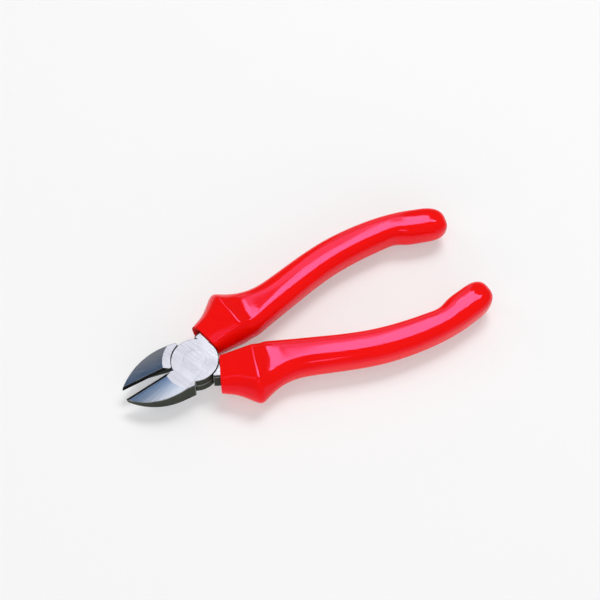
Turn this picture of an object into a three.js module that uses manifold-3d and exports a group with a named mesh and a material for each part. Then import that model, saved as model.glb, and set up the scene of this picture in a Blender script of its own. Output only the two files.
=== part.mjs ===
// Side cutters: two lapped levers that turn on one flush rivet, each with a moulded grip.
// Millimetres and degrees, +Z up, jaw tips towards -X and handle ends towards +X.
import * as THREE from "three";
import { mergeVertices } from "three/addons/utils/BufferGeometryUtils.js";
import Module from "manifold-3d";

const wasm = await Module();
wasm.setup();

// Each lever is described with the jaws shut and the pivot at the origin,
// its jaw on the -Y side and its handle on the +Y side. The other lever is its mirror image.
const restOpening = 7.4; // angle between the cutting edges in the modelled pose

// Head and jaw
const headThickness = 9.2;
const jawLength = 31.6; // pivot to jaw tip
const jawHalfWidth = 10.5; // cutting edge to the straight shoulder
const tipWidth = 0.6; // blunt end of one jaw
const shoulderLength = 11.2; // pivot to the start of the nose curve
const shoulderAngle = 64.5; // rear wall of the shoulder, from the jaw's centre line
const faceRadius = 13.4; // flat polished face, round the pivot
const topSlope = 16; // fall of the jaw's top from that face to the tip
const undersideSlope = 5.5;

// Cutting edge
const bladeGap = 0.1; // between the two edges when shut
const bevelDepth = 0.65; // edge below the jaw's top
const bevelAngle = 27;
const reliefAngle = 33; // hollow under the edge, from the vertical
const reliefReach = 3;

// Joint
const discRadius = 9.8; // half-lap disc of each lever
const jointGap = 0.3; // round each disc
const lapGap = 0.12; // between the lap faces
const rivetRadius = 3.2;
const rivetHeadRadius = 4.6;
const rivetHeadDepth = 1.4;
const rivetSink = 0.05; // rivet ends below the polished faces
const rivetClearance = 0.05;

// Tang inside the grip
const neckAngle = 16.5; // direction in which the tang leaves the head
const neckOffset = 4.8; // sideways from the pivot
const neckRoot = 7.2; // start of the full-thickness neck, along that direction
const tangWidth = 7.2;
const tangThickness = 6.6; // behind the neck
const tangTipWidth = 4.8;
const tangTipThickness = 4.4;
const tangChamfer = 0.6;
const tangClearance = 0.3;

// Grip
const mouthSetback = 0.2; // front of the grip behind the joint
const mouthOffset = 5.8; // its middle, sideways from the pivot
const mouthWidth = 15.2;
const mouthThickness = 12.2;
const guardThickness = 17.6; // raised ridge of the thumb guard
const guardLand = 1.4; // flat top of that ridge
const scoopThickness = 13.6; // hollow behind the ridge
const gripThickness = 12.6;
const heelThickness = 13;
const gripRound = 4.5; // corners of the handle's section
const mouthRoundInner = 2.9; // how far the rounded sides of the collar reach inwards
const mouthRoundOuter = 3.5;
const guardRoundInner = 3.8;
const guardRoundOuter = 6.4;
const domeLength = 11; // rounded end
const domePower = 2.5; // fullness of that end, 2 for an ellipse
const domeDrift = -0.24; // sideways slope of its centre line

// Plan of the grip behind its mouth: points on the inner and the outer edge, [back from the pivot, sideways].
const collar = { inner: [17, 1.3], outer: [12.4, 19] };
const guard = { inner: [25, 1.5], outer: [20.8, 25] };
const scoop = { inner: [27.2, 1.2], outer: [25.2, 23.3] };
const throat = { inner: [30.5, 1.1], outer: [30.5, 21.3] };
const waist = { inner: [37, 3], outer: [38, 20.2] };
const rise = { inner: [49, 6.3], outer: [50, 22.2] };
const middle = { inner: [61, 9.5], outer: [62, 24.7] };
const bow = { inner: [73.5, 12], outer: [74.5, 26.6] };
const crown = { inner: [86, 13], outer: [87.5, 27] };
const fall = { inner: [97, 12.8], outer: [99, 26.2] };
const step = { inner: [103, 12.1], outer: [106, 25.1] };
const heel = { inner: [109.5, 9.6], outer: [112.5, 23.7] };
const domeStart = { inner: [116.5, 7.7], outer: [119.5, 21.5] };
const handle = [guard, scoop, throat, waist, rise, middle, bow, crown, fall, step, heel, domeStart];

// Fineness of the facets
const roundSides = 64;
const arcSteps = 40;
const cornerSteps = 5;
const spanSteps = 4;
const domeSteps = 8;
const overcut = 1; // how far a cutter reaches past the metal

const steel = new THREE.MeshStandardMaterial({ color: 0xc9cbd6, roughness: 0.28, metalness: 1 });
const rivetSteel = new THREE.MeshStandardMaterial({ color: 0xc4c6d0, roughness: 0.3, metalness: 1 });
const redVinyl = new THREE.MeshStandardMaterial({ color: 0xe8140c, roughness: 0.18, metalness: 0 });

const { degToRad, lerp } = THREE.MathUtils;
const slopeOf = (angle) => Math.tan(degToRad(angle));
const halfHead = headThickness / 2;

// Radius of a many-sided cutter whose flats clear the given circle.
const outside = (radius) => radius / Math.cos(Math.PI / roundSides);

function solid(geometry) {
  geometry.deleteAttribute("normal");
  geometry.deleteAttribute("uv");
  const merged = mergeVertices(geometry, 1e-4);
  const vertProperties = merged.getAttribute("position").array;
  const triVerts = new Uint32Array(merged.index.array);
  return new wasm.Manifold(new wasm.Mesh({ numProp: 3, vertProperties, triVerts }));
}

function mesh(name, body, material) {
  const { vertProperties, triVerts } = body.getMesh();
  const geometry = new THREE.BufferGeometry();
  geometry.setAttribute("position", new THREE.BufferAttribute(vertProperties, 3));
  geometry.setIndex(new THREE.BufferAttribute(triVerts, 1));
  const made = new THREE.Mesh(geometry, material);
  made.name = name;
  return made;
}

// Solid through a row of rings that run anticlockwise seen from its far end, closed by fans.
function loft(rings, apex) {
  const sides = rings[0].length;
  const middleOf = (ring) =>
    ring.reduce((sum, point) => sum.add(point), new THREE.Vector3()).divideScalar(ring.length);
  const points = [...rings.flat(), middleOf(rings[0]), apex ?? middleOf(rings.at(-1))];
  const startPoint = points.length - 2;
  const endPoint = points.length - 1;
  const lastRing = (rings.length - 1) * sides;
  const faces = [];
  for (let side = 0; side < sides; side++) {
    const next = (side + 1) % sides;
    faces.push(startPoint, next, side, endPoint, lastRing + side, lastRing + next);
    for (let base = 0; base < lastRing; base += sides) {
      const above = base + sides;
      faces.push(base + side, base + next, above + next, base + side, above + next, above + side);
    }
  }
  const geometry = new THREE.BufferGeometry().setFromPoints(points);
  geometry.setIndex(faces);
  return solid(geometry);
}

// Solid of revolution about the pivot from [radius, height] pairs.
function turned(profile) {
  const points = profile.map(([radius, height]) => new THREE.Vector2(radius, height));
  return solid(new THREE.LatheGeometry(points, roundSides).rotateX(Math.PI / 2));
}

// Jaw and lap disc in plan, through the full thickness of the head.
function headBlank() {
  const inset = bladeGap / 2;
  const noseRun = jawLength - shoulderLength;
  const noseRise = jawHalfWidth - tipWidth;
  const noseRadius = (noseRun ** 2 + noseRise ** 2) / (2 * noseRise);
  const noseCentre = noseRadius - jawHalfWidth;
  const tipAngle = Math.atan2(-tipWidth - noseCentre, -noseRun);
  const rear = degToRad(shoulderAngle);
  const discStart = Math.asin(inset / discRadius);
  const outline = new THREE.Shape();
  outline.moveTo(-discRadius * Math.cos(discStart), -inset);
  outline.lineTo(-jawLength, -inset);
  outline.lineTo(-jawLength, -tipWidth);
  outline.absarc(-shoulderLength, noseCentre, noseRadius, tipAngle, -Math.PI / 2, false);
  outline.lineTo(-jawHalfWidth / Math.tan(rear), -jawHalfWidth);
  outline.absarc(0, 0, discRadius, Math.PI + rear, 3 * Math.PI + discStart, false);
  const settings = { depth: headThickness, bevelEnabled: false, curveSegments: arcSteps };
  return solid(new THREE.ExtrudeGeometry(outline, settings).translate(0, 0, -halfHead));
}

// Everything ground off the blank: sloping top and underside, cutting bevel and the hollow below the edge.
function grindJaw(blank) {
  const reach = jawLength + jawHalfWidth;
  const fallTo = (slope) => (reach - faceRadius) * slopeOf(slope);
  const coneAbove = (side, slope) => {
    const face = side * halfHead;
    const away = face + side * overcut;
    const corners = [
      [faceRadius, face],
      [reach, face - side * fallTo(slope)],
      [reach, away],
      [faceRadius, away],
    ];
    if (side < 0) corners.reverse();
    return turned([...corners, corners[0]]);
  };
  const inset = bladeGap / 2;
  const edgeHeight = (x) => halfHead - bevelDepth - (-x - faceRadius) * slopeOf(topSlope);
  const ends = [-jawLength - overcut, -discRadius];
  const alongEdge = (section) =>
    loft(ends.map((x) => section(edgeHeight(x)).map(([y, z]) => new THREE.Vector3(x, y, z))));
  const top = headThickness + jawLength;
  const bevel = alongEdge((edge) => [
    [overcut, top],
    [-inset - jawHalfWidth, top],
    [-inset - jawHalfWidth, edge + jawHalfWidth * slopeOf(bevelAngle)],
    [-inset, edge],
    [overcut, edge],
  ]);
  const hollow = alongEdge((edge) => [
    [overcut, edge],
    [-inset, edge],
    [-inset - reliefReach, edge - reliefReach / slopeOf(reliefAngle)],
    [-inset - reliefReach, -top],
    [overcut, -top],
  ]);
  return blank
    .subtract(coneAbove(1, topSlope))
    .subtract(coneAbove(-1, undersideSlope))
    .subtract(bevel)
    .subtract(hollow);
}

// Mouth of the grip: a straight front face square to the neck, just clear of the discs.
const neckDirection = new THREE.Vector3(Math.cos(degToRad(neckAngle)), Math.sin(degToRad(neckAngle)), 0);
const neckAcross = new THREE.Vector3(-neckDirection.y, neckDirection.x, 0);
const fromNeck = (along, across) =>
  neckDirection.clone().multiplyScalar(along).addScaledVector(neckAcross, across);
const mouthDistance = discRadius + jointGap + mouthSetback;

// Centre line of the tang, from the head through the middle of the handle to the heel.
const plan = ([x, y]) => new THREE.Vector3(x, y, 0);
const centreOf = ({ inner, outer }) => plan(inner).lerp(plan(outer), 0.5);
const tangStops = [
  fromNeck(neckRoot, neckOffset),
  fromNeck(mouthDistance, neckOffset),
  ...[throat, waist, rise, middle, bow, crown, fall, step, heel].map(centreOf),
];
const tangLine = new THREE.CatmullRomCurve3(tangStops);
const tangSpans = tangStops.length - 1;

// Section of the tang, with the neck at the head's full thickness and a taper towards the end.
function tangSize(stop) {
  const neck = [tangWidth, headThickness];
  const bar = [tangWidth, tangThickness];
  const tip = [tangTipWidth, tangTipThickness];
  if (stop <= 1) return neck;
  if (stop <= 2) return neck.map((size, i) => lerp(size, bar[i], stop - 1));
  return bar.map((size, i) => lerp(size, tip[i], (stop - 2) / (tangSpans - 2)));
}

function tangRing(stop, grow, shift) {
  const at = stop / tangSpans;
  const along = tangLine.getTangent(at);
  const across = new THREE.Vector3(-along.y, along.x, 0);
  const [width, thickness] = tangSize(stop);
  const u = width / 2 + grow;
  const v = thickness / 2 + grow;
  const corners = [
    [u - tangChamfer, -v],
    [u, -v + tangChamfer],
    [u, v - tangChamfer],
    [u - tangChamfer, v],
    [-u + tangChamfer, v],
    [-u, v - tangChamfer],
    [-u, -v + tangChamfer],
    [-u + tangChamfer, -v],
  ];
  const centre = tangLine.getPoint(at).addScaledVector(along, shift);
  return corners.map(([y, z]) => centre.clone().addScaledVector(across, y).setZ(z));
}

// Bar from the head to the heel. A grown one is the bore that takes it.
function tangBar(grow) {
  const rings = [];
  for (let i = 0; i <= tangSpans * spanSteps; i++) rings.push(tangRing(i / spanSteps, grow, 0));
  if (grow > 0) rings.push(tangRing(tangSpans, grow, grow));
  return loft(rings);
}

const rivetSlope = (rivetHeadRadius - rivetRadius) / rivetHeadDepth;

function rivetHole() {
  const shank = outside(rivetRadius + rivetClearance);
  const head = outside(rivetHeadRadius + rivetClearance);
  const seat = halfHead - rivetHeadDepth;
  const past = halfHead + overcut;
  return turned([
    [0, -past],
    [head, -past],
    [head, -halfHead],
    [shank, -seat],
    [shank, seat],
    [head, halfHead],
    [head, past],
    [0, past],
  ]);
}

function rivet() {
  const end = halfHead - rivetSink;
  const rim = rivetHeadRadius - rivetSink * rivetSlope;
  const seat = halfHead - rivetHeadDepth;
  return turned([
    [0, -end],
    [rim, -end],
    [rivetRadius, -seat],
    [rivetRadius, seat],
    [rim, end],
    [0, end],
  ]);
}

// One lever. lap is 1 where its disc is the top one of the joint and -1 where it is the bottom one.
function lever(lap) {
  const depth = halfHead + overcut + lapGap / 2;
  const recessRadius = outside(discRadius + jointGap);
  const recess = new THREE.CylinderGeometry(recessRadius, recessRadius, depth, roundSides);
  recess.rotateX(Math.PI / 2).translate(0, 0, (lap * (lapGap - depth)) / 2);
  return grindJaw(headBlank()).add(tangBar(0)).subtract(solid(recess)).subtract(rivetHole());
}

// Section of the grip between two points in plan: flat top and bottom, with elliptical corners
// that reach roundInner and roundOuter sideways and roundHeight up or down.
function gripRing(innerPoint, outerPoint, { thickness, roundInner, roundOuter, roundHeight }) {
  const flat = thickness / 2 - roundHeight;
  const width = innerPoint.distanceTo(outerPoint);
  const across = outerPoint.clone().sub(innerPoint).normalize();
  const corners = [
    { y: width - roundOuter, z: -flat, reach: roundOuter, from: -90 },
    { y: width - roundOuter, z: flat, reach: roundOuter, from: 0 },
    { y: roundInner, z: flat, reach: roundInner, from: 90 },
    { y: roundInner, z: -flat, reach: roundInner, from: 180 },
  ];
  const ring = [];
  for (const { y, z, reach, from } of corners) {
    for (let i = 0; i <= cornerSteps; i++) {
      const angle = degToRad(from + (90 * i) / cornerSteps);
      const point = innerPoint.clone().addScaledVector(across, y + reach * Math.cos(angle));
      ring.push(point.setZ(z + roundHeight * Math.sin(angle)));
    }
  }
  return ring;
}

const mouthSize = {
  thickness: mouthThickness,
  roundInner: mouthRoundInner,
  roundOuter: mouthRoundOuter,
  roundHeight: mouthThickness / 2,
};
const guardSize = {
  thickness: guardThickness,
  roundInner: guardRoundInner,
  roundOuter: guardRoundOuter,
  roundHeight: guardThickness / 2,
};

function sizeAt(stop) {
  const size = {
    thickness: gripThickness,
    roundInner: gripRound,
    roundOuter: gripRound,
    roundHeight: gripRound,
  };
  if (stop === guard) return guardSize;
  if (stop === scoop) return { ...size, thickness: scoopThickness, roundOuter: guardRoundOuter };
  if (stop === heel || stop === domeStart) return { ...size, thickness: heelThickness };
  return size;
}

const eachSize = (size, change) =>
  Object.fromEntries(Object.entries(size).map(([key, value]) => [key, change(value, key)]));
const mixSizes = (a, b, t) => eachSize(a, (value, key) => lerp(value, b[key], t));
const shrinkSizes = (size, factor) => eachSize(size, (value) => value * factor);

// Collar: flares from the mouth to the front of the ridge.
function collarRings() {
  const land = new THREE.Vector3(-guardLand, 0, 0);
  const innerEdge = new THREE.CatmullRomCurve3([
    fromNeck(mouthDistance, mouthOffset - mouthWidth / 2),
    plan(collar.inner),
    plan(guard.inner).add(land),
  ]);
  const outerEdge = new THREE.CatmullRomCurve3([
    fromNeck(mouthDistance, mouthOffset + mouthWidth / 2),
    plan(collar.outer),
    plan(guard.outer).add(land),
  ]);
  const steps = 2 * spanSteps;
  const rings = [];
  for (let i = 0; i <= steps; i++) {
    const t = i / steps;
    rings.push(gripRing(innerEdge.getPoint(t), outerEdge.getPoint(t), mixSizes(mouthSize, guardSize, t)));
  }
  return rings;
}

// Handle: smooth curves from the ridge to the heel.
function handleRings() {
  const sizes = handle.map(sizeAt);
  const innerEdge = new THREE.CatmullRomCurve3(handle.map(({ inner }) => plan(inner)));
  const outerEdge = new THREE.CatmullRomCurve3(handle.map(({ outer }) => plan(outer)));
  const heights = new THREE.CatmullRomCurve3(
    sizes.map(({ thickness, roundHeight }) => new THREE.Vector3(thickness, roundHeight, 0)),
  );
  const spans = handle.length - 1;
  const rings = [];
  for (let i = 0; i <= spans * spanSteps; i++) {
    const t = i / (spans * spanSteps);
    const stop = Math.min(Math.floor(t * spans), spans - 1);
    const size = mixSizes(sizes[stop], sizes[stop + 1], t * spans - stop);
    const height = heights.getPoint(t);
    size.thickness = height.x;
    size.roundHeight = Math.min(height.y, height.x / 2);
    rings.push(gripRing(innerEdge.getPoint(t), outerEdge.getPoint(t), size));
  }
  return rings;
}

// Rounded end behind the heel.
const domeAxis = new THREE.Vector3(1, domeDrift, 0).multiplyScalar(domeLength);

function domeRings() {
  const centre = centreOf(domeStart);
  const size = sizeAt(domeStart);
  const rings = [];
  for (let i = 1; i < domeSteps; i++) {
    const t = Math.sin((i / domeSteps) * (Math.PI / 2));
    const shrink = (1 - t ** domePower) ** (1 / domePower);
    const middleOf = centre.clone().addScaledVector(domeAxis, t);
    const inner = plan(domeStart.inner).sub(centre).multiplyScalar(shrink).add(middleOf);
    const outer = plan(domeStart.outer).sub(centre).multiplyScalar(shrink).add(middleOf);
    rings.push(gripRing(inner, outer, shrinkSizes(size, shrink)));
  }
  return rings;
}

function grip() {
  const rings = [...collarRings(), ...handleRings(), ...domeRings()];
  return loft(rings, centreOf(domeStart).add(domeAxis)).subtract(tangBar(tangClearance));
}

// A lever with its grip, opened by half of the rest angle. hand is -1 for the mirrored half.
function half(hand, lap, name) {
  const group = new THREE.Group();
  group.add(mesh(name, lever(lap), steel), mesh(`${name}_grip`, grip(), redVinyl));
  group.scale.y = hand;
  group.rotation.z = degToRad((hand * restOpening) / 2);
  return group;
}

const cutters = new THREE.Group();
cutters.add(half(1, 1, "upper_lever"), half(-1, -1, "lower_lever"), mesh("joint_rivet", rivet(), rivetSteel));

// The part stands on the lowest point of the grips, centred over the origin.
const box = new THREE.Box3().setFromObject(cutters, true);
const centre = box.getCenter(new THREE.Vector3());
cutters.position.set(-centre.x, -centre.y, -box.min.z);

const part = new THREE.Group();
part.add(cutters);
export default part;
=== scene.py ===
import math

import bmesh
import bpy
from mathutils import Matrix, Vector


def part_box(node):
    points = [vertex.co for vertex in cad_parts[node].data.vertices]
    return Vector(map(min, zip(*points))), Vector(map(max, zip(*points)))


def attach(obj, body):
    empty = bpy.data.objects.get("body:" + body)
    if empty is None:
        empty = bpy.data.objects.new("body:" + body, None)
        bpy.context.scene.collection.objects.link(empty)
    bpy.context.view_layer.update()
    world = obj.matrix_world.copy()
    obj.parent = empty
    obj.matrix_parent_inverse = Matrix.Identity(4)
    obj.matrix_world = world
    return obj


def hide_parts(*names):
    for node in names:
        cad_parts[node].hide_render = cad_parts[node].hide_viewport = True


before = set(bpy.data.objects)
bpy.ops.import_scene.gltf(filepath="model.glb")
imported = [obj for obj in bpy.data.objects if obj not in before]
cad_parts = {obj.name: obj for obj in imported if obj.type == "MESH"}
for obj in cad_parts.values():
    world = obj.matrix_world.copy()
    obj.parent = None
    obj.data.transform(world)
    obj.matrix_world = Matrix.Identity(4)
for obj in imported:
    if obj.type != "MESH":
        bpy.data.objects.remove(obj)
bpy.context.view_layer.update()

mm = 0.001
rivetLow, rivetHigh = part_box("joint_rivet")
pivot = (rivetLow + rivetHigh) / 2  # the hinge line, at half the thickness of the head
leverLow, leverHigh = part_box("upper_lever")
faceTop = leverHigh.z
faceBottom = leverLow.z
halves = {"upper": 1, "lower": -1}  # side of the handle, towards +Y or -Y
restTurn = math.radians(3.7)  # how far each half is turned open in the modelled pose


# Objects and nodes

def newObject(name, data):
    piece = bpy.data.objects.new(name, data)
    bpy.context.scene.collection.objects.link(piece)
    return piece


def feed(tree, node, inputs):
    # each input takes a link from a socket or a constant
    for key, value in inputs.items():
        if isinstance(value, bpy.types.NodeSocket):
            tree.links.new(value, node.inputs[key])
        else:
            node.inputs[key].default_value = value


def addNode(tree, kind, inputs=None, **settings):
    node = tree.nodes.new(kind)
    for name, value in settings.items():
        setattr(node, name, value)
    feed(tree, node, inputs or {})
    return node


def calc(tree, operation, *values):
    return addNode(tree, "ShaderNodeMath", dict(enumerate(values)), operation=operation).outputs[0]


def calcVector(tree, operation, *values):
    node = addNode(tree, "ShaderNodeVectorMath", dict(enumerate(values)), operation=operation)
    return node.outputs["Value" if operation in ("LENGTH", "DISTANCE") else "Vector"]


def scaleVector(tree, vector, factor):
    node = addNode(tree, "ShaderNodeVectorMath", {0: vector, "Scale": factor}, operation="SCALE")
    return node.outputs["Vector"]


def newGroup(name, kind, inputs, outputs):
    tree = bpy.data.node_groups.new(name, kind)
    for socketName, socketType in inputs.items():
        tree.interface.new_socket(socketName, in_out="INPUT", socket_type=socketType)
    for socketName, socketType in outputs.items():
        tree.interface.new_socket(socketName, in_out="OUTPUT", socket_type=socketType)
    return tree, tree.nodes.new("NodeGroupInput").outputs, tree.nodes.new("NodeGroupOutput").inputs


def useGroup(tree, group, inputs):
    return addNode(tree, "ShaderNodeGroup", inputs, node_tree=group).outputs


def newMaterial(name, constants):
    material = bpy.data.materials.new(name)
    material.use_nodes = True
    shader = material.node_tree.nodes["Principled BSDF"]
    feed(material.node_tree, shader, constants)
    return material, material.node_tree, shader


def objectCoords(tree, centre=(0, 0, 0)):
    coords = addNode(tree, "ShaderNodeTexCoord").outputs["Object"]
    moved = addNode(tree, "ShaderNodeMapping", {"Vector": coords, "Location": [-v for v in centre]})
    return moved.outputs["Vector"]


# Shared effects

noiseDetail = {"slow": 3.0, "fine": 2.0, "lines": 4.0}
wheelRoughness = 0.6  # of the noise that draws a wheel's lines
noiseSpan = (0.32, 0.68)  # where most of a noise's values lie


def noise(tree, vector, scale, detail, roughness=0.5):
    return addNode(tree, "ShaderNodeTexNoise", {
        "Vector": vector, "Scale": scale, "Detail": detail, "Roughness": roughness,
    }).outputs["Fac"]


def makeUnevenGroup():
    # slow and fine unevenness of a moulded or handled surface
    tree, given, wanted = newGroup("unevenSurface", "ShaderNodeTree", {
        "Vector": "NodeSocketVector",
        "Slow Scale": "NodeSocketFloat",
        "Fine Scale": "NodeSocketFloat",
    }, {"Slow": "NodeSocketFloat", "Fine": "NodeSocketFloat"})
    slow = noise(tree, given["Vector"], given["Slow Scale"], noiseDetail["slow"])
    fine = noise(tree, given["Vector"], given["Fine Scale"], noiseDetail["fine"])
    tree.links.new(slow, wanted["Slow"])
    tree.links.new(fine, wanted["Fine"])
    return tree


def makeWheelGroup():
    # lines left by turning a wheel round the pivot, as rings or as rays
    tree, given, wanted = newGroup("wheelLines", "ShaderNodeTree", {
        "Vector": "NodeSocketVector",
        "Ring Scale": "NodeSocketFloat",
        "Ray Scale": "NodeSocketFloat",
    }, {"Lines": "NodeSocketFloat"})
    parts = addNode(tree, "ShaderNodeSeparateXYZ", {0: given["Vector"]}).outputs
    flat = addNode(tree, "ShaderNodeCombineXYZ", {"X": parts["X"], "Y": parts["Y"]}).outputs[0]
    radius = calcVector(tree, "LENGTH", flat)
    angle = calc(tree, "ARCTAN2", parts["Y"], parts["X"])
    polar = addNode(tree, "ShaderNodeCombineXYZ", {
        "X": calc(tree, "MULTIPLY", radius, given["Ring Scale"]),
        "Y": calc(tree, "MULTIPLY", angle, given["Ray Scale"]),
    }).outputs[0]
    tree.links.new(noise(tree, polar, 1.0, noiseDetail["lines"], wheelRoughness), wanted["Lines"])
    return tree


unevenSurface = makeUnevenGroup()
wheelLines = makeWheelGroup()
print("shared effects made")


# Materials: each look gives its dark and light tone and its lowest and highest roughness

def unevenOn(tree, look):
    return useGroup(tree, unevenSurface, {
        "Vector": objectCoords(tree), "Slow Scale": look["slowScale"], "Fine Scale": look["fineScale"],
    })


def rampTo(tree, value, span):
    low, high = span
    ramp = addNode(tree, "ShaderNodeMapRange", {"Value": value, "To Min": low, "To Max": high})
    return ramp.outputs["Result"]


def stretch(tree, value):
    # spreads a noise over 0 to 1
    low, high = noiseSpan
    ramp = addNode(tree, "ShaderNodeMapRange", {"Value": value, "From Min": low, "From Max": high})
    return ramp.outputs["Result"]


def blend(tree, first, second, share):
    # that share of the first, and the rest of the second
    return calc(tree, "MULTIPLY_ADD", first, share, calc(tree, "MULTIPLY", second, 1 - share))


def bumpOf(tree, height, strength, distance):
    bump = addNode(tree, "ShaderNodeBump", {"Height": height, "Strength": strength, "Distance": distance})
    return bump.outputs["Normal"]


def tintBetween(tree, value, tones):
    mix = addNode(tree, "ShaderNodeMix", {"Factor": value}, data_type="RGBA")
    colours = [socket for socket in mix.inputs if socket.type == "RGBA"]
    for socket, tone in zip(colours, tones):
        socket.default_value = (*tone, 1)
    return next(socket for socket in mix.outputs if socket.type == "RGBA")


mouldedLook = {
    "shader": {"IOR": 1.5, "Specular IOR Level": 0.29, "Specular Tint": (1.0, 0.36, 1.0, 1.0)},
    "tones": ((0.84, 0.004, 0.001), (0.96, 0.007, 0.002)),
    "roughness": (0.06, 0.11),
    "slowScale": 45.0,
    "fineScale": 1400.0,
    "grainStrength": 0.15,
    "grainDepth": 0.01 * mm,
}
# the cut end and the socket of a sleeve are dull
cutLook = {
    "shader": {"Specular IOR Level": 0.05},
    "tones": ((0.70, 0.004, 0.002), (0.88, 0.007, 0.003)),
    "roughness": (0.6, 0.85),
    "slowScale": 90.0,
    "fineScale": 1800.0,
    "grainStrength": 0.3,
    "grainDepth": 0.03 * mm,
}


def makeVinyl(name, look):
    material, tree, shader = newMaterial(name, look["shader"])
    uneven = unevenOn(tree, look)
    feed(tree, shader, {
        "Base Color": tintBetween(tree, uneven["Slow"], look["tones"]),
        "Roughness": rampTo(tree, uneven["Fine"], look["roughness"]),
        "Normal": bumpOf(tree, uneven["Fine"], look["grainStrength"], look["grainDepth"]),
    })
    return material


faceLook = {
    "shader": {"Metallic": 1.0},
    "tones": ((0.70, 0.71, 0.81), (0.86, 0.87, 0.96)),
    "roughness": (0.08, 0.14),
    "cloudScale": 180.0,
    "lineTurn": 62,  # degrees from the handles
    "lineScale": (90.0, 2600.0, 90.0),
    "lineShare": 0.6,  # of the tone, the rest is cloudy
    "lineStrength": 0.2,
    "lineDepth": 0.02 * mm,
}


def makeFaceSteel():
    # ground flat in one pass with the rivet, so the lines run straight across both
    look = faceLook
    material, tree, shader = newMaterial("polishedFace", look["shader"])
    turned = addNode(tree, "ShaderNodeMapping", {
        "Vector": objectCoords(tree, pivot), "Rotation": (0, 0, math.radians(look["lineTurn"])),
    }).outputs["Vector"]
    drawn = addNode(tree, "ShaderNodeMapping", {"Vector": turned, "Scale": look["lineScale"]})
    lines = noise(tree, drawn.outputs["Vector"], 1.0, noiseDetail["lines"])
    clouds = noise(tree, turned, look["cloudScale"], noiseDetail["slow"])
    tone = stretch(tree, blend(tree, lines, clouds, look["lineShare"]))
    feed(tree, shader, {
        "Base Color": tintBetween(tree, tone, look["tones"]),
        "Roughness": rampTo(tree, tone, look["roughness"]),
        "Normal": bumpOf(tree, lines, look["lineStrength"], look["lineDepth"]),
    })
    return material


jawLook = {
    "shader": {"Metallic": 1.0},
    # painted reflection: the tone is dark at the cutting edge and light away from it
    "tones": ((0.13, 0.245, 0.46), (0.60, 0.64, 0.73)),  # at the cutting edge and away from it
    "paintedReflectionReach": 9.0 * mm,
    "paintedReflectionPower": 1.3,
    "roughness": (0.16, 0.3),
    "ringScale": 110.0,
    "rayScale": 48.0,
    "streaks": 0.3,  # how far the lines move the tone
    "lineDepth": 0.002 * mm,
    "hollow": 0.40 * mm,  # depth of the hollow left by the grinding wheel
    "hollowReach": 10.0 * mm,
    "hollowMiddle": 4.5 * mm,  # from the cutting edge
}


def makeJawSteel():
    # hollow ground, with painted reflection that darkens the tone towards the cutting edge
    look = jawLook
    material, tree, shader = newMaterial("groundJaw", look["shader"])
    coords = objectCoords(tree, pivot)
    parts = addNode(tree, "ShaderNodeSeparateXYZ", {0: coords}).outputs
    aside = calc(tree, "ABSOLUTE", parts["Y"])
    fromEdge = calc(tree, "MULTIPLY_ADD", parts["X"], math.tan(restTurn), aside)
    lines = useGroup(tree, wheelLines, {
        "Vector": coords, "Ring Scale": look["ringScale"], "Ray Scale": look["rayScale"],
    })["Lines"]
    # painted reflection: the tone rises from dark at the cutting edge to light away from it
    reach = addNode(tree, "ShaderNodeMapRange", {"Value": fromEdge, "From Max": look["paintedReflectionReach"]})
    rise = calc(tree, "POWER", reach.outputs["Result"], look["paintedReflectionPower"])
    streak = calc(tree, "SUBTRACT", stretch(tree, lines), 0.5)
    tone = calc(tree, "MULTIPLY_ADD", streak, look["streaks"], rise)
    fromMiddle = calc(tree, "SUBTRACT", fromEdge, look["hollowMiddle"])
    across = calc(tree, "DIVIDE", fromMiddle, look["hollowReach"])
    hollow = calc(tree, "MULTIPLY", calc(tree, "MULTIPLY", across, across), look["hollow"])
    height = calc(tree, "MULTIPLY_ADD", lines, look["lineDepth"], hollow)
    feed(tree, shader, {
        "Base Color": tintBetween(tree, tone, look["tones"]),
        "Roughness": rampTo(tree, lines, look["roughness"]),
        "Normal": bumpOf(tree, height, 1.0, 1.0),
    })
    return material


oxideLook = {
    "shader": {"Specular IOR Level": 0.16},
    "tones": ((0.005, 0.008, 0.004), (0.032, 0.040, 0.023)),
    "roughness": (0.38, 0.55),
    "slowScale": 220.0,
    "fineScale": 2600.0,
    "slowShare": 0.6,  # of the tone, the rest is fine
    "grainStrength": 0.3,
    "grainDepth": 0.05 * mm,
}
# the bevels beside the gap are darker and smoother; the same dark finish on the jaw faces inside the gap is
# painted shade
cutBevelAndGapShadeLook = {
    **oxideLook,
    "tones": ((0.002, 0.002, 0.002), (0.006, 0.006, 0.007)),
    "roughness": (0.3, 0.45),
}


def makeOxide(name, look):
    material, tree, shader = newMaterial(name, look["shader"])
    uneven = unevenOn(tree, look)
    scale = stretch(tree, blend(tree, uneven["Slow"], uneven["Fine"], look["slowShare"]))
    feed(tree, shader, {
        "Base Color": tintBetween(tree, scale, look["tones"]),
        "Roughness": rampTo(tree, uneven["Fine"], look["roughness"]),
        "Normal": bumpOf(tree, scale, look["grainStrength"], look["grainDepth"]),
    })
    return material


wornLook = {
    "shader": {"Metallic": 1.0},
    "tones": ((0.20, 0.21, 0.22), (0.52, 0.53, 0.56)),
    "roughness": (0.25, 0.45),
    "slowScale": 300.0,
    "fineScale": 3000.0,
}


def makeWornSteel():
    material, tree, shader = newMaterial("wornEdge", wornLook["shader"])
    uneven = unevenOn(tree, wornLook)
    feed(tree, shader, {
        "Base Color": tintBetween(tree, stretch(tree, uneven["Slow"]), wornLook["tones"]),
        "Roughness": rampTo(tree, uneven["Fine"], wornLook["roughness"]),
    })
    return material


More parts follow.
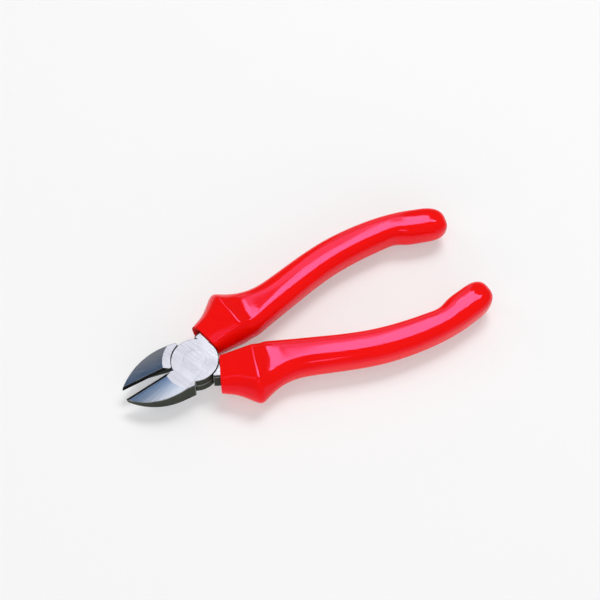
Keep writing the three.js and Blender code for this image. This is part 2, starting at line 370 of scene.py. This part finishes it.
redVinyl = makeVinyl("redVinyl", mouldedLook)
cutVinyl = makeVinyl("cutVinyl", cutLook)
polishedFace = makeFaceSteel()
groundJaw = makeJawSteel()
blackOxide = makeOxide("blackOxide", oxideLook)
cutEdge = makeOxide("cutEdge", cutBevelAndGapShadeLook)
wornEdge = makeWornSteel()
print("materials made")


# Grips: one section rule lofted along a list of stations

# in mm from the pivot, in a half's own plan when shut
grip = {
    "neckAngle": 16.5,  # degrees from the middle line
    "neckOffset": 4.8,
    "mouthDistance": 10.2,  # pivot to the front face, along the neck
    "mouthOffset": 5.35,
    "mouthWidth": 16.3,
    "mouth": (12.2, 2.9, 3.8, 6.1, 1.6),  # sizes, as in gripStations
    "ridge": (17.6, 4.2, 7.2, 8.8, 1.6),
    "ridgeForward": 0.7,  # crest of the ridge, ahead of its station
    "collar": ((17, 0.5), (12.3, 19.2)),  # inner and outer point between mouth and ridge
    "collarSteps": 42,
    "spanSteps": 14,  # rings from one station to the next
    "softenPasses": 8,
    "toePasses": 26,  # the outer side of the guard is rounder than its crest
    "lip": 0.35,  # rounding of the front edge
    "lipSteps": 6,
    "domeLength": 10.7,
    "domePower": 2.7,
    "domeDrift": -0.33,  # slope of the tip towards the middle line
    "domeSteps": 28,
    "domeEnd": 0.998,  # the last ring stays open and is capped
    "tang": (7.2, 9.2, 4.8, 4.4),  # width and thickness at the neck and at the tip
    "tangThinning": 1.6,  # its thickness falls this much faster than its width
    "tangClearance": 0.3,
    "tangCorner": 0.9,
    "boreFullness": 2.0,
    "boreSteps": 6,
    "boreProbe": 0.01,  # part of a span, to find the direction of the socket
    "leastRounding": 0.2,
    "mostRounding": 0.97,  # of half the width or half the thickness
    "cornerSteps": 16,
    "cutLimit": 0.6,  # faces between a cut and a moulded ring count as moulded
    "mergeReach": 0.0001,
}
# inner and outer point of each station in plan, then its sizes in the order of sizeNames
# a rounding of None takes the whole half of the section
gripStations = [
    ((25, 0.5), (20.6, 26.6), (17.8, 4.4, 7.4, 8.9, 1.6)),
    ((27.4, 0.8), (25.2, 23.6), (14.4, 4.6, 6.8, 7.0, 1.75)),
    ((30.5, 1.1), (30.5, 21.3), (12.9, 5.0, 6.6, 6.3, 2.1)),
    ((37, 3), (38, 20.2), (12.6, 6.4, 7.0, 6.3, 2.5)),
    ((49, 6.3), (50, 22.2), (12.6, None, None, None, 2.9)),
    ((61, 9.5), (62, 24.7), (12.6, None, None, None, 3.0)),
    ((73.5, 12), (74.5, 26.6), (12.6, None, None, None, 3.0)),
    ((86, 13.1), (87.5, 27), (12.6, None, None, None, 3.0)),
    ((97, 13.2), (99, 26.2), (12.6, None, None, None, 3.0)),
    ((104, 12.8), (106, 25.1), (12.6, None, None, None, 3.0)),
    ((109.8, 9.9), (112.5, 23.7), (13.0, None, None, None, 2.9)),
    ((116.5, 7.7), (119.5, 21.5), (13.0, None, None, None, 2.8)),
]
sizeNames = ("thickness", "roundInner", "roundOuter", "roundHeight", "fullness")
leastGap = 1e-6  # keeps points that coincide from dividing by zero


def splinePoint(points, at):
    # centripetal Catmull-Rom through points of any number of values
    first = min(int(at), len(points) - 2)
    p1, p2 = points[first], points[first + 1]
    p0 = points[first - 1] if first > 0 else 2 * p1 - p2
    p3 = points[first + 2] if first + 2 < len(points) else 2 * p2 - p1

    def gap(a, b):
        return math.sqrt(max((b - a).length, leastGap))

    d0, d1, d2 = gap(p0, p1), gap(p1, p2), gap(p2, p3)
    m1 = ((p1 - p0) / d0 - (p2 - p0) / (d0 + d1) + (p2 - p1) / d1) * d1
    m2 = ((p2 - p1) / d1 - (p3 - p1) / (d1 + d2) + (p3 - p2) / d2) * d1
    w = at - first
    return p1 + m1 * w + (3 * (p2 - p1) - 2 * m1 - m2) * w * w + (2 * (p1 - p2) + m1 + m2) * w ** 3


def station(inner, outer, sizes):
    return Vector((*inner, *outer, *sizes))


def fromNeck(along, across):
    turn = math.radians(grip["neckAngle"])
    c, s = math.cos(turn), math.sin(turn)
    return Vector((along * c - across * s, along * s + across * c))


def handleStations():
    found = []
    for inner, outer, (thickness, roundInner, roundOuter, roundHeight, fullness) in gripStations:
        halfWidth = (Vector(outer) - Vector(inner)).length / 2
        rounding = (roundInner or halfWidth, roundOuter or halfWidth, roundHeight or thickness / 2)
        found.append(station(inner, outer, (thickness, *rounding, fullness)))
    return found


def soften(rail, passes):
    for _ in range(passes):
        inside = [(a + 2 * b + c) / 4 for a, b, c in zip(rail, rail[1:], rail[2:])]
        rail = [rail[0], *inside, rail[-1]]
    return rail


def collarAndHandle():
    handle = handleStations()
    ridge = handle[0]
    ridge[0] -= grip["ridgeForward"]
    ridge[2] -= grip["ridgeForward"]
    start = grip["mouthDistance"] + grip["lip"]
    reach = grip["mouthWidth"] / 2
    innerCorner = fromNeck(start, grip["mouthOffset"] - reach)
    outerCorner = fromNeck(start, grip["mouthOffset"] + reach)
    middleSizes = [(a + b) / 2 for a, b in zip(grip["mouth"], grip["ridge"])]
    mouth = station(innerCorner, outerCorner, grip["mouth"])
    collar = [mouth, station(*grip["collar"], middleSizes), ridge]
    rail = [splinePoint(collar, 2 * i / grip["collarSteps"]) for i in range(grip["collarSteps"])]
    steps = grip["spanSteps"]
    spans = len(handle) - 1
    rail += [splinePoint(handle, i / steps) for i in range(spans * steps + 1)]
    soft = soften(rail, grip["softenPasses"])
    toe = soften(rail, grip["toePasses"])
    return [station(a[0:2], b[2:4], a[4:]) for a, b in zip(soft, toe)]


def inset(ring, distance):
    # the same section, smaller all round
    inner, outer = Vector(ring[0:2]), Vector(ring[2:4])
    across = (outer - inner).normalized() * distance
    rounding = [max(v - distance, grip["leastRounding"]) for v in ring[5:8]]
    return station(inner + across, outer - across, (ring[4] - 2 * distance, *rounding, ring[8]))


def lipStations(mouth):
    # quarter round from the front face to the sides of the collar
    rings = []
    for i in range(grip["lipSteps"]):
        turn = math.pi / 2 * i / grip["lipSteps"]
        ring = inset(mouth, grip["lip"] * (1 - math.sin(turn)))
        forward = fromNeck(-grip["lip"] * math.cos(turn), 0)
        rings.append(ring + station(forward, forward, (0, 0, 0, 0, 0)))
    return rings


def domeStations(last):
    # rounded tip of the handle
    inner, outer = Vector(last[0:2]), Vector(last[2:4])
    centre = (inner + outer) / 2
    axis = Vector((1, grip["domeDrift"])) * grip["domeLength"]
    rings = []
    for i in range(1, grip["domeSteps"] + 1):
        t = math.sin(min(i / grip["domeSteps"], grip["domeEnd"]) * math.pi / 2)
        shrink = (1 - t ** grip["domePower"]) ** (1 / grip["domePower"])
        middle = centre + axis * t
        sizes = [v * shrink for v in last[4:8]] + [last[8]]
        rings.append(station(middle + (inner - centre) * shrink, middle + (outer - centre) * shrink, sizes))
    return rings


def boreStations():
    # socket for the tang, from its blind end to the front face, down the middle of the handle
    wide, thick, tipWide, tipThick = grip["tang"]
    clear = 2 * grip["tangClearance"]
    corner = grip["tangCorner"]
    centres = [(Vector(inner) + Vector(outer)) / 2 for inner, outer, _ in gripStations[2:-1]]
    path = [fromNeck(grip["mouthDistance"], grip["neckOffset"]), *centres]
    spans = len(path) - 1
    last = spans * grip["boreSteps"]
    rings = []
    for i in range(last, -1, -1):
        share = i / last
        at = i / grip["boreSteps"]
        here = splinePoint(path, at)
        behind = splinePoint(path, max(at - grip["boreProbe"], 0))
        ahead = splinePoint(path, min(at + grip["boreProbe"], spans)) - behind
        across = Vector((-ahead.y, ahead.x)).normalized()
        width = wide + (tipWide - wide) * share + clear
        thickness = thick + (tipThick - thick) * min(1, share * grip["tangThinning"]) + clear
        sizes = (thickness, corner, corner, corner, grip["boreFullness"])
        rings.append(station(here - across * width / 2, here + across * width / 2, sizes))
    return rings


def gripRail():
    # all rings from the blind end of the socket to the tip, and how many of them are cut, not moulded
    rail = collarAndHandle()
    bore = boreStations()
    lip = lipStations(rail[0])
    return [*bore, *lip, *rail, *domeStations(rail[-1])], len(bore) + len(lip) // 2


def makeGripTree():
    # tube along the rail, each ring set out by the section rule from the rail's own sizes
    tree, given, wanted = newGroup("gripLoft", "GeometryNodeTree", {
        "Geometry": "NodeSocketGeometry",
        "Corner Steps": "NodeSocketInt",
        "Finish": "NodeSocketMaterial",
        "Cut Finish": "NodeSocketMaterial",
    }, {"Geometry": "NodeSocketGeometry"})

    def make(kind, inputs):
        return addNode(tree, kind, inputs).outputs[0]

    def run(operation, *values):
        return calc(tree, operation, *values)

    def runVector(operation, *values):
        return calcVector(tree, operation, *values)

    def named(name, kind="FLOAT"):
        read = addNode(tree, "GeometryNodeInputNamedAttribute", {"Name": name}, data_type=kind)
        return read.outputs["Attribute"]

    def keep(geometry, name, value):
        return addNode(tree, "GeometryNodeStoreNamedAttribute", {
            "Geometry": geometry, "Name": name, "Value": value,
        }, data_type="FLOAT", domain="POINT").outputs["Geometry"]

    # four corners in a ring, each point knows its corner and its turn round it
    perCorner = run("ADD", given["Corner Steps"], 1.0)
    circle = make("GeometryNodeCurvePrimitiveCircle", {"Resolution": run("MULTIPLY", perCorner, 4.0)})
    index = make("GeometryNodeInputIndex", {})
    cornerIndex = run("FLOOR", run("DIVIDE", index, perCorner))
    step = run("SUBTRACT", index, run("MULTIPLY", cornerIndex, perCorner))
    ring = keep(circle, "corner", cornerIndex)
    ring = keep(ring, "turn", run("DIVIDE", step, given["Corner Steps"]))
    rail = make("GeometryNodeMeshToCurve", {"Mesh": given["Geometry"]})
    tube = make("GeometryNodeCurveToMesh", {"Curve": rail, "Profile Curve": ring, "Fill Caps": True})

    corner, turn = named("corner"), named("turn")
    inner, outer = named("innerPoint", "FLOAT_VECTOR"), named("outerPoint", "FLOAT_VECTOR")
    isOuter = run("LESS_THAN", corner, 1.5)
    isUpper = run("LESS_THAN", run("ABSOLUTE", run("SUBTRACT", corner, 1.5)), 1.0)
    isOdd = run("MODULO", corner, 2.0)
    sideSign = run("MULTIPLY_ADD", isOuter, 2.0, -1.0)
    upSign = run("MULTIPLY_ADD", isUpper, 2.0, -1.0)
    # even corners run the other way round their quarter
    rising = run("MULTIPLY", isOdd, turn)
    falling = run("MULTIPLY", run("SUBTRACT", 1.0, isOdd), run("SUBTRACT", 1.0, turn))
    angle = run("MULTIPLY", run("ADD", rising, falling), math.pi / 2)
    power = run("DIVIDE", 2.0, named("fullness"))
    reach = run("POWER", run("MAXIMUM", run("COSINE", angle), 0.0), power)
    lift = run("POWER", run("MAXIMUM", run("SINE", angle), 0.0), power)

    roundInner, roundOuter = named("roundInner"), named("roundOuter")
    halfWidth = run("MULTIPLY", runVector("DISTANCE", inner, outer), 0.5)
    halfHeight = run("MULTIPLY", named("thickness"), 0.5)
    rounding = run("MULTIPLY_ADD", isOuter, run("SUBTRACT", roundOuter, roundInner), roundInner)
    rounding = run("MINIMUM", rounding, run("MULTIPLY", halfWidth, grip["mostRounding"]))
    roundHeight = run("MINIMUM", named("roundHeight"), run("MULTIPLY", halfHeight, grip["mostRounding"]))
    sideways = run("MULTIPLY_ADD", rounding, run("SUBTRACT", reach, 1.0), halfWidth)
    upwards = run("MULTIPLY_ADD", roundHeight, run("SUBTRACT", lift, 1.0), halfHeight)
    across = runVector("NORMALIZE", runVector("SUBTRACT", outer, inner))
    aside = scaleVector(tree, across, run("MULTIPLY", sideways, sideSign))
    middle = scaleVector(tree, runVector("ADD", inner, outer), 0.5)
    height = make("ShaderNodeCombineXYZ", {"Z": run("MULTIPLY", upwards, upSign)})
    place = runVector("ADD", runVector("ADD", middle, aside), height)

    shaped = make("GeometryNodeSetPosition", {"Geometry": tube, "Position": place})
    smooth = make("GeometryNodeSetShadeSmooth", {"Geometry": shaped})
    whole = make("GeometryNodeRealizeInstances", {"Geometry": smooth})
    finished = make("GeometryNodeSetMaterial", {"Geometry": whole, "Material": given["Finish"]})
    isCut = run("GREATER_THAN", named("cut"), grip["cutLimit"])
    finished = make("GeometryNodeSetMaterial", {
        "Geometry": finished, "Selection": isCut, "Material": given["Cut Finish"],
    })
    tree.links.new(finished, wanted["Geometry"])
    return tree


shippedLayers = ("position", "material_index", "sharp_face", "sharp_edge")


def plainMesh(piece):
    # the evaluated mesh without modifiers or helper attributes, with its faces pointing out
    depsgraph = bpy.context.evaluated_depsgraph_get()
    made = bpy.data.meshes.new_from_object(piece.evaluated_get(depsgraph))
    piece.modifiers.clear()
    piece.data = made
    shell = bmesh.new()
    shell.from_mesh(made)
    bmesh.ops.remove_doubles(shell, verts=shell.verts, dist=grip["mergeReach"] * mm)
    bmesh.ops.recalc_face_normals(shell, faces=shell.faces)
    shell.to_mesh(made)
    shell.free()
    for name in [layer.name for layer in made.attributes]:
        if name[0] != "." and name not in shippedLayers:
            made.attributes.remove(made.attributes[name])
    return piece


def toPart(point, side):
    # from a half's own plan to the part's frame
    x = point[0] * math.cos(restTurn) - point[1] * math.sin(restTurn)
    y = point[1] * math.cos(restTurn) + point[0] * math.sin(restTurn)
    return Vector((pivot.x + x * mm, pivot.y + side * y * mm, pivot.z))


def railMesh(name, side):
    # a plain line with one point for each ring, which holds the ring's sizes
    rail, cutCount = gripRail()
    count = len(rail)
    line = bpy.data.meshes.new(name)
    line.from_pydata([(i * mm, 0, 0) for i in range(count)], [(i, i + 1) for i in range(count - 1)], [])
    for key, first in (("innerPoint", 0), ("outerPoint", 2)):
        layer = line.attributes.new(key, "FLOAT_VECTOR", "POINT")
        for item, ring in zip(layer.data, rail):
            item.vector = toPart(ring[first:first + 2], side)
    for place, key in enumerate(sizeNames, 4):  # after the two points
        unit = 1 if key == "fullness" else mm
        layer = line.attributes.new(key, "FLOAT", "POINT")
        for item, ring in zip(layer.data, rail):
            item.value = ring[place] * unit
    layer = line.attributes.new("cut", "FLOAT", "POINT")
    for item in layer.data[:cutCount]:
        item.value = 1
    return line


def makeGrip(name, side, tree):
    piece = newObject(name, railMesh(name, side))
    loft = piece.modifiers.new("loft", "NODES")
    loft.node_group = tree
    given = {"Corner Steps": grip["cornerSteps"], "Finish": redVinyl, "Cut Finish": cutVinyl}
    for item in tree.interface.items_tree:
        if item.in_out == "INPUT" and item.name in given:
            loft[item.identifier] = given[item.name]
    return plainMesh(piece)


gripTree = makeGripTree()
for half, side in halves.items():
    sleeve = makeGrip(f"{half}_grip_sleeve", side, gripTree)
    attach(sleeve, f"{half}_half")
    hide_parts(f"{half}_lever_grip")
    print(sleeve.name, len(sleeve.data.polygons), "faces")


# Levers: the solid's own shape with finishes by face and small rounded edges

lever = {
    "mergeReach": 0.002 * mm,
    "dissolveAngle": 0.4,  # degrees, faces this near to one plane are joined
    "flatCos": 0.9995,  # least cosine of the tilt on a polished face
    "groundCos": 0.9,  # on the ground side of a jaw
    "cutCos": 0.5,  # on the bevel of a cutting edge
    "faceReach": 0.02 * mm,
    "edgeRadius": 0.2 * mm,
    "edgeSegments": 2,
    "sharpAngle": 11,  # degrees between faces that count as an edge
    "shallowAngle": 24,  # degrees, below which an edge is a crisp line between two finishes
    "rivetReach": 5.2 * mm,
    "jawStart": 9.5 * mm,
    "cutReach": 1.6 * mm,  # beside the gap between the jaws
    "cutShare": 0.3,  # of the edge radius on the cutting edges
    "gapBack": (-11.5 * mm, 0),  # from the pivot
    "gapReach": 2.4 * mm,
    "gapFade": 3.2 * mm,
}
leverFinishes = [polishedFace, groundJaw, blackOxide, wornEdge, cutEdge]


def besideGap(place):
    # place is in plan, from the pivot
    gapHalf = abs(place.x) * math.tan(restTurn) + lever["cutReach"]
    return place.x < 0 and abs(place.y) < gapHalf


def finishOf(face):
    rise = abs(face.normal.z)
    middle = face.calc_center_median()
    onFace = min(abs(middle.z - faceTop), abs(middle.z - faceBottom)) < lever["faceReach"]
    if rise > lever["flatCos"] and onFace:
        return leverFinishes.index(polishedFace)
    if rise > lever["groundCos"]:
        return leverFinishes.index(groundJaw)
    place = (middle - pivot).xy
    # the jaw faces inside the gap take this dark finish as painted shade
    if rise > lever["cutCos"] or (besideGap(place) and place.length > lever["jawStart"]):
        return leverFinishes.index(cutEdge)
    return leverFinishes.index(blackOxide)


def edgeShare(edge):
    # finer beside the gap between the jaws, fading out at the back of that gap, left sharp round the rivet
    middle = ((edge.verts[0].co + edge.verts[1].co) / 2 - pivot).xy
    shallow = edge.calc_face_angle(0) < math.radians(lever["shallowAngle"])
    if shallow or middle.length < lever["rivetReach"]:
        return 0
    fromGap = (middle - Vector(lever["gapBack"])).length - lever["gapReach"]
    share = min(1, max(0, fromGap / lever["gapFade"])) ** 2
    return share * (lever["cutShare"] if besideGap(middle) else 1)


def leverMesh(name, node):
    # a merged copy of the solid, with a finish for each face and a rounding for each edge
    shell = bmesh.new()
    shell.from_mesh(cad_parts[node].data)
    bmesh.ops.remove_doubles(shell, verts=shell.verts, dist=lever["mergeReach"])
    flat = math.radians(lever["dissolveAngle"])
    bmesh.ops.dissolve_limit(
        shell, angle_limit=flat, verts=shell.verts, edges=shell.edges, use_dissolve_boundaries=False,
    )
    for face in shell.faces:
        face.material_index = finishOf(face)
        face.smooth = face.material_index != leverFinishes.index(polishedFace)  # one plane, one normal
    weights = shell.edges.layers.float.new("bevel_weight_edge")
    for edge in shell.edges:
        if edge.calc_face_angle(0) > math.radians(lever["sharpAngle"]):
            edge[weights] = edgeShare(edge)
            edge.smooth = edge[weights] > 0
    made = bpy.data.meshes.new(name)
    shell.to_mesh(made)
    shell.free()
    for finish in leverFinishes:
        made.materials.append(finish)
    return made


def makeLever(name, node):
    piece = newObject(name, leverMesh(name, node))
    edges = piece.modifiers.new("edges", "BEVEL")
    edges.width = lever["edgeRadius"]
    edges.segments = lever["edgeSegments"]
    edges.limit_method = "WEIGHT"
    edges.use_clamp_overlap = False
    edges.loop_slide = False
    edges.material = leverFinishes.index(wornEdge)
    weld = piece.modifiers.new("weld", "WELD")
    weld.merge_threshold = lever["mergeReach"]
    flats = piece.modifiers.new("flats", "WEIGHTED_NORMAL")
    flats.keep_sharp = True
    return piece


for half in halves:
    bar = makeLever(f"{half}_lever_bar", f"{half}_lever")
    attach(bar, f"{half}_half")
    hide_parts(f"{half}_lever")
    print(bar.name, len(bar.data.polygons), "faces")


# Rivet: turned, with heads flush with the polished faces

rivet = {
    "shankRadius": 3.2 * mm,
    "headRadius": 4.6 * mm,
    "headDepth": 1.4 * mm,
    "sides": 128,
    "mergeReach": 0.001 * mm,
}


def makeRivet():
    top = faceTop - pivot.z
    neck = top - rivet["headDepth"]
    profile = [
        (0, -top), (rivet["headRadius"], -top), (rivet["shankRadius"], -neck),
        (rivet["shankRadius"], neck), (rivet["headRadius"], top), (0, top),
    ]
    shell = bmesh.new()
    points = [shell.verts.new((pivot.x + radius, pivot.y, pivot.z + height)) for radius, height in profile]
    line = [shell.edges.new(pair) for pair in zip(points, points[1:])]
    bmesh.ops.spin(
        shell, geom=points + line, cent=pivot, axis=(0, 0, 1), angle=2 * math.pi, steps=rivet["sides"],
    )
    bmesh.ops.remove_doubles(shell, verts=shell.verts, dist=rivet["mergeReach"])
    bmesh.ops.recalc_face_normals(shell, faces=shell.faces)
    made = bpy.data.meshes.new("turned_rivet")
    shell.to_mesh(made)
    shell.free()
    made.materials.append(polishedFace)
    return newObject("turned_rivet", made)


pin = makeRivet()
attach(pin, "upper_half")
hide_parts("joint_rivet")
print("rivet turned")


# Camera, floor and light

view = {
    "turn": 24.75,  # degrees from square to the handles
    "elevation": 60.0,
    "aim": (52.3 * mm, 10.1 * mm, 0),  # from the pivot
    "distance": 512.9 * mm,
    "lens": 72.0,
    "sensor": 36.0,
    "clipStart": 10.0 * mm,
}
viewTurn = math.radians(view["turn"])
viewAim = pivot + Vector(view["aim"])
away = Vector((math.sin(viewTurn), math.cos(viewTurn), 0))
across = Vector((math.cos(viewTurn), -math.sin(viewTurn), 0))
up = Vector((0, 0, 1))


def makeCamera():
    elevation = math.radians(view["elevation"])
    forward = away * math.cos(elevation) - up * math.sin(elevation)
    camera = newObject("camera", bpy.data.cameras.new("camera"))
    camera.data.lens = view["lens"]
    camera.data.sensor_width = view["sensor"]
    camera.data.clip_start = view["clipStart"]
    camera.location = viewAim - forward * view["distance"]
    camera.rotation_euler = forward.to_track_quat("-Z", "Y").to_euler()
    bpy.context.scene.camera = camera


# lengths in metres
floor = {
    "side": 40.0,
    "tone": (0.94, 0.94, 0.94),
    "roughness": 0.7,
    "farTone": (0.94, 0.94, 0.94),  # seen where the lamps no longer reach
    "nearShare": 0.35,  # of that tone beside the part, so that its shadow stays light
    "farStart": 0.4,
    "farEnd": 1.8,
}


def makeFloorMaterial():
    material, tree, shader = newMaterial("paleFloor", {
        "Base Color": (*floor["tone"], 1), "Roughness": floor["roughness"],
    })
    ray = addNode(tree, "ShaderNodeLightPath").outputs
    mirrored = calc(tree, "MAXIMUM", ray["Is Glossy Ray"], ray["Is Transmission Ray"])
    seen = calc(tree, "MAXIMUM", ray["Is Camera Ray"], mirrored)
    far = addNode(tree, "ShaderNodeMapRange", {
        "Value": calcVector(tree, "LENGTH", objectCoords(tree)),
        "From Min": floor["farStart"],
        "From Max": floor["farEnd"],
        "To Min": floor["nearShare"],
    }, interpolation_type="SMOOTHSTEP").outputs["Result"]
    glow = addNode(tree, "ShaderNodeEmission", {"Color": (*floor["farTone"], 1)}).outputs[0]
    share = calc(tree, "MULTIPLY", seen, far)
    mixed = addNode(tree, "ShaderNodeMixShader", {0: share, 1: shader.outputs[0], 2: glow})
    tree.links.new(mixed.outputs[0], tree.nodes["Material Output"].inputs["Surface"])
    return material


def makeFloor():
    half = floor["side"] / 2
    corners = [(-half, -half, 0), (half, -half, 0), (half, half, 0), (-half, half, 0)]
    made = bpy.data.meshes.new("floor")
    made.from_pydata(corners, [], [(0, 1, 2, 3)])
    made.materials.append(makeFloorMaterial())
    piece = newObject("floor", made)


# panels face the part, seen from it: elevation of the lower and upper edge, past 90 on the camera's side,
# and bearing of the left and right edge
panels = {
    "strip": {"rise": (58.5, 72), "spread": (0, 3.5), "distance": 2.2, "radiance": 11.8},
    "stripMiddle": {"rise": (51, 73), "spread": (3.5, 13), "distance": 2.2, "radiance": 11.8},
    "stripEnd": {"rise": (57, 70), "spread": (13, 28), "distance": 2.2, "radiance": 11.8},
    "glow": {"rise": (44, 58.5), "spread": (-8, 3.5), "distance": 2.4, "radiance": 3.2},
    "behind": {"rise": (10, 44), "spread": (-11, 1), "distance": 2.6, "radiance": 1.2},
    "corner": {"rise": (57, 71), "spread": (-10, -1.5), "distance": 2.4, "radiance": 0.62},
    "jawGlow": {"rise": (84, 110), "spread": (-36, -9), "distance": 2.4, "radiance": 1.15},
    "glint": {"rise": (114, 124), "spread": (1, 10), "distance": 2.2, "radiance": 6.0},
    "side": {"rise": (40, 78), "spread": (-64, -46), "distance": 2.4, "radiance": 1.8},
    "fill": {"rise": (112, 172), "spread": (-55, 55), "distance": 2.6, "radiance": 0.20, "glossy": False},
    "front": {"rise": (150, 177), "spread": (-60, 60), "distance": 2.6, "radiance": 1.5, "glossy": False},
}
worldTone = (0.215, 0.215, 0.215)


def makePanel(name, panel):
    low, high = (math.radians(edge) for edge in panel["rise"])
    left, right = (math.tan(math.radians(edge)) * panel["distance"] for edge in panel["spread"])
    middle = (low + high) / 2
    out = away * math.cos(middle) + up * math.sin(middle)
    lamp = bpy.data.lights.new(name, "AREA")
    lamp.shape = "RECTANGLE"
    lamp.size = right - left
    lamp.size_y = 2 * panel["distance"] * math.tan((high - low) / 2)
    lamp.energy = panel["radiance"] * math.pi * lamp.size * lamp.size_y
    piece = newObject(name, lamp)
    piece.location = viewAim + out * panel["distance"] + across * (left + right) / 2
    piece.rotation_euler = Matrix((across, out.cross(across), out)).transposed().to_euler()
    piece.visible_camera = False
    piece.visible_glossy = panel.get("glossy", True)


def makeWorld():
    world = bpy.data.worlds.new("studio")
    world.use_nodes = True
    world.node_tree.nodes["Background"].inputs["Color"].default_value = (*worldTone, 1)
    bpy.context.scene.world = world


makeCamera()
makeFloor()
for panelName, panel in panels.items():
    makePanel(panelName, panel)
makeWorld()
bpy.context.scene.view_settings.view_transform = "Standard"
print("camera and light set")
